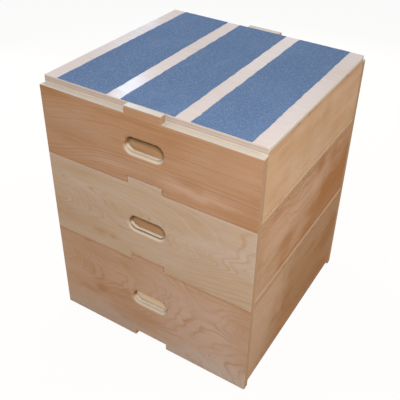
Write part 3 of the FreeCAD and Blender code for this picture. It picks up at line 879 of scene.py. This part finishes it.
def hand_cut(vertex, low, high, wander):
    """Moves a vertex on a strip's outline as if the strip had been cut by hand."""
    coarse = 45.0
    fine = 160.0
    apart = 7.0
    end_share = 0.4
    tiny = 1e-6

    def stray(spot):
        return wander * (noise.noise(spot * coarse) + 0.5 * noise.noise(spot * fine))

    x, y = vertex.co.xy
    if min(x - low.x, high.x - x) < tiny:
        vertex.co.x += stray(Vector((x * apart, y, 0.0)))
    if min(y - low.y, high.y - y) < tiny:
        vertex.co.y += stray(Vector((x, y * apart, 3.0))) * end_share


class JUMPBOX_OT_grip_strips(bpy.types.Operator):
    """Cut the three grip strips and lay them on the upper top panel"""
    bl_idname = "jumpbox.grip_strips"
    bl_label = "Grip Strips"

    def execute(self, context):
        grip = context.scene.jumpbox_grip
        material = grip_coat(grip)
        for strip in STRIPS:
            node = f"{strip}_grip_strip"
            low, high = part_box(node)
            shape = bmesh.new()
            middle = (low + high) / 2
            spread = Matrix.Diagonal(((high.x - low.x) / 2, (high.y - low.y) / 2, 1.0, 1.0))
            underside = Matrix.Translation((middle.x, middle.y, low.z)) @ spread
            bmesh.ops.create_grid(shape, x_segments=CELLS_ACROSS, y_segments=CELLS_ALONG, size=1.0,
                                  matrix=underside)
            for vertex in shape.verts:
                hand_cut(vertex, low, high, grip.edge_wander)
            raised = bmesh.ops.extrude_face_region(shape, geom=shape.faces[:], use_keep_orig=True)["geom"]
            lifted = [part for part in raised if isinstance(part, bmesh.types.BMVert)]
            bmesh.ops.translate(shape, verts=lifted, vec=(0.0, 0.0, high.z - low.z))
            bmesh.ops.recalc_face_normals(shape, faces=shape.faces[:])
            rims = [edge for edge in shape.edges if edge.calc_face_angle(0.0) > 1.0
                    and min(vertex.co.z for vertex in edge.verts) > middle.z]
            bmesh.ops.bevel(shape, geom=rims, offset=grip.edge_round, affect="EDGES", segments=2, profile=0.5,
                            material=-1)
            mesh = bpy.data.meshes.new(f"{strip}_strip")
            shape.to_mesh(mesh)
            shape.free()
            mesh.materials.append(material)
            piece = bpy.data.objects.new(f"{strip}_strip", mesh)
            context.scene.collection.objects.link(piece)
            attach(piece, "upper_box")
            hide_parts(node)
        return {"FINISHED"}


def add_lamp(name, place, target, size, power, colour=(1.0, 1.0, 1.0), mirrored=True):
    """Adds a soft square lamp that points at a target. Unless mirrored, it leaves no glint."""
    lamp = bpy.data.lights.new(name, "AREA")
    lamp.color = colour
    lamp.size = size
    lamp.energy = power
    holder = bpy.data.objects.new(name, lamp)
    holder.location = place
    holder.rotation_euler = (Vector(target) - Vector(place)).to_track_quat("-Z", "Y").to_euler()
    holder.visible_camera = False
    holder.visible_glossy = mirrored
    bpy.context.scene.collection.objects.link(holder)


def white_to_camera(graph, surface, share, white=WHITE):
    """Mixes a glow, plain white unless another colour is given, into what the camera and reflections see of a
    surface.
    """
    path = graph.add("LightPath").outputs
    seen = graph.math("MAXIMUM", path["Is Camera Ray"], path["Is Glossy Ray"])
    seen = graph.math("MAXIMUM", seen, path["Is Transmission Ray"])
    glow = graph.add("Emission", {"Color": white, "Strength": 1.0}).outputs[0]
    return graph.add("MixShader", {0: graph.times(seen, share), 1: surface, 2: glow}).outputs[0]


def lay_floor(stage):
    """A pale floor that is near white outside the boxes and glows a warm tint inside them, as painted light
    bounced round inside the boxes.
    """
    mesh = bpy.data.meshes.new("floor")
    shape = bmesh.new()
    bmesh.ops.create_grid(shape, x_segments=1, y_segments=1, size=12.0)
    shape.to_mesh(mesh)
    shape.free()
    floor = bpy.data.objects.new("floor", mesh)
    bpy.context.scene.collection.objects.link(floor)
    material, graph, shader = new_material("pale_floor")
    x, y = graph.split(graph.add("TexCoord").outputs["Object"])[:2]
    from_centre = graph.math("MAXIMUM", graph.math("ABSOLUTE", x), graph.math("ABSOLUTE", y))
    outside = graph.remap(from_centre, FLOOR_INSIDE, FLOOR_OUTSIDE)
    # Inside the boxes the camera sees a warm tint glowing at a 0.30 share: painted light bounced round inside
    # the boxes, seen through the hand holes
    white = graph.mix(outside, opaque(stage.floor, 1.0, 0.74, 0.58), WHITE)
    share = graph.blend(outside, 0.30, 0.95)
    graph.feed(shader, {"Base Color": opaque(stage.floor), "Roughness": 0.9})
    output = material.node_tree.nodes["Material Output"]
    graph.feed(output, {"Surface": white_to_camera(graph, shader.outputs[0], share, white)})
    mesh.materials.append(material)


def light_studio(stage):
    """An even white world, lamps round the boxes, and small ones whose glints show on the top."""
    world = bpy.data.worlds.new("studio")
    bpy.context.scene.world = world
    world.use_nodes = True
    graph = Graph(world.node_tree)
    ambient = world.node_tree.nodes["Background"]
    graph.feed(ambient, {"Color": WHITE, "Strength": stage.ambient})
    output = world.node_tree.nodes["World Output"]
    graph.feed(output, {"Surface": white_to_camera(graph, ambient.outputs[0], 1.0)})
    add_lamp("camera_lamp", (0.756, -1.260, 1.430), (0.0, 0.0, 0.4), size=0.09, power=21.9, mirrored=False)
    add_lamp("left_fill", (-1.15, -1.0, 1.25), (-0.2, -0.28, 0.40), size=0.6, power=5.3, mirrored=False)
    add_lamp("right_softbox", (2.3, 0.45, 1.5), (0.0, 0.0, 0.4), size=1.5, power=21.6, mirrored=False)
    add_lamp("overhead_softbox", (-0.7, 0.6, 2.0), (-0.1, 0.1, 0.7), size=1.0, power=9.3, mirrored=False)
    add_lamp("back_softbox", (-0.4, 2.0, 0.85), (0.0, 0.28, 0.40), size=0.5, power=17.0, mirrored=False)
    add_lamp("left_softbox", (-2.0, 0.4, 0.45), (-0.29, 0.0, 0.36), size=0.5, power=16.0)
    add_lamp("near_glint", (-1.342, 1.333, 1.701), (-0.089, -0.215, 0.714),
             size=0.14, power=1.75, colour=(0.45, 0.70, 1.0))
    add_lamp("left_glint", (-1.512, 1.737, 1.503), (-0.274, 0.098, 0.714),
             size=0.12, power=0.45, colour=(0.40, 0.62, 1.0))
    add_lamp("far_glint", (-0.672, 1.828, 1.491), (0.09, 0.15, 0.714),
             size=0.50, power=0.9, colour=(0.72, 0.84, 1.0))


def set_camera(stage):
    """A camera that sees the boxes as the picture does."""
    camera = bpy.data.cameras.new("camera")
    camera.sensor_width = SENSOR_WIDTH
    camera.lens = SENSOR_WIDTH * stage.focal_pixels / PHOTO_SIZE
    camera.shift_x = (PHOTO_SIZE / 2 - stage.centre_x) / PHOTO_SIZE
    camera.shift_y = (stage.centre_y - PHOTO_SIZE / 2) / PHOTO_SIZE
    holder = bpy.data.objects.new("camera", camera)
    bpy.context.scene.collection.objects.link(holder)
    sight = Vector((-math.sin(stage.azimuth) * math.cos(stage.elevation),
                    math.cos(stage.azimuth) * math.cos(stage.elevation), -math.sin(stage.elevation)))
    holder.location = stage.camera_place
    turn = sight.to_track_quat("-Z", "Y") @ Quaternion((0.0, 0.0, 1.0), stage.roll)
    holder.rotation_euler = turn.to_euler()
    bpy.context.scene.camera = holder


class JUMPBOX_OT_stage(bpy.types.Operator):
    """Set up the floor, the lights and the camera"""
    bl_idname = "jumpbox.stage"
    bl_label = "Stage"

    def execute(self, context):
        stage = context.scene.jumpbox_stage
        lay_floor(stage)
        light_studio(stage)
        set_camera(stage)
        context.scene.view_settings.view_transform = "Standard"
        return {"FINISHED"}


OPERATORS = (JUMPBOX_OT_front_panels, JUMPBOX_OT_side_panels, JUMPBOX_OT_top_panels, JUMPBOX_OT_battens,
             JUMPBOX_OT_grip_strips, JUMPBOX_OT_stage)


class JUMPBOX_PT_sidebar(bpy.types.Panel):
    """Buttons for the finishes of the jump boxes"""
    bl_idname = "JUMPBOX_PT_sidebar"
    bl_label = "Jump Boxes"
    bl_space_type = "VIEW_3D"
    bl_region_type = "UI"
    bl_category = "Jump Boxes"

    def draw(self, context):
        for operator in OPERATORS:
            self.layout.operator(operator.bl_idname)


SETTINGS = {"jumpbox_wood": WoodSettings, "jumpbox_grip": GripSettings, "jumpbox_stage": StageSettings}


def register():
    for settings in SETTINGS.values():
        bpy.utils.register_class(settings)
    for name, settings in SETTINGS.items():
        setattr(bpy.types.Scene, name, PointerProperty(type=settings))
    for operator in OPERATORS:
        bpy.utils.register_class(operator)
    bpy.utils.register_class(JUMPBOX_PT_sidebar)


def unregister():
    bpy.utils.unregister_class(JUMPBOX_PT_sidebar)
    for operator in reversed(OPERATORS):
        bpy.utils.unregister_class(operator)
    for name, settings in SETTINGS.items():
        delattr(bpy.types.Scene, name)
        bpy.utils.unregister_class(settings)


def main():
    register()
    bpy.ops.jumpbox.front_panels()
    bpy.ops.jumpbox.side_panels()
    bpy.ops.jumpbox.top_panels()
    bpy.ops.jumpbox.battens()
    bpy.ops.jumpbox.grip_strips()
    bpy.ops.jumpbox.stage()


if __name__ == "__main__":
    main()
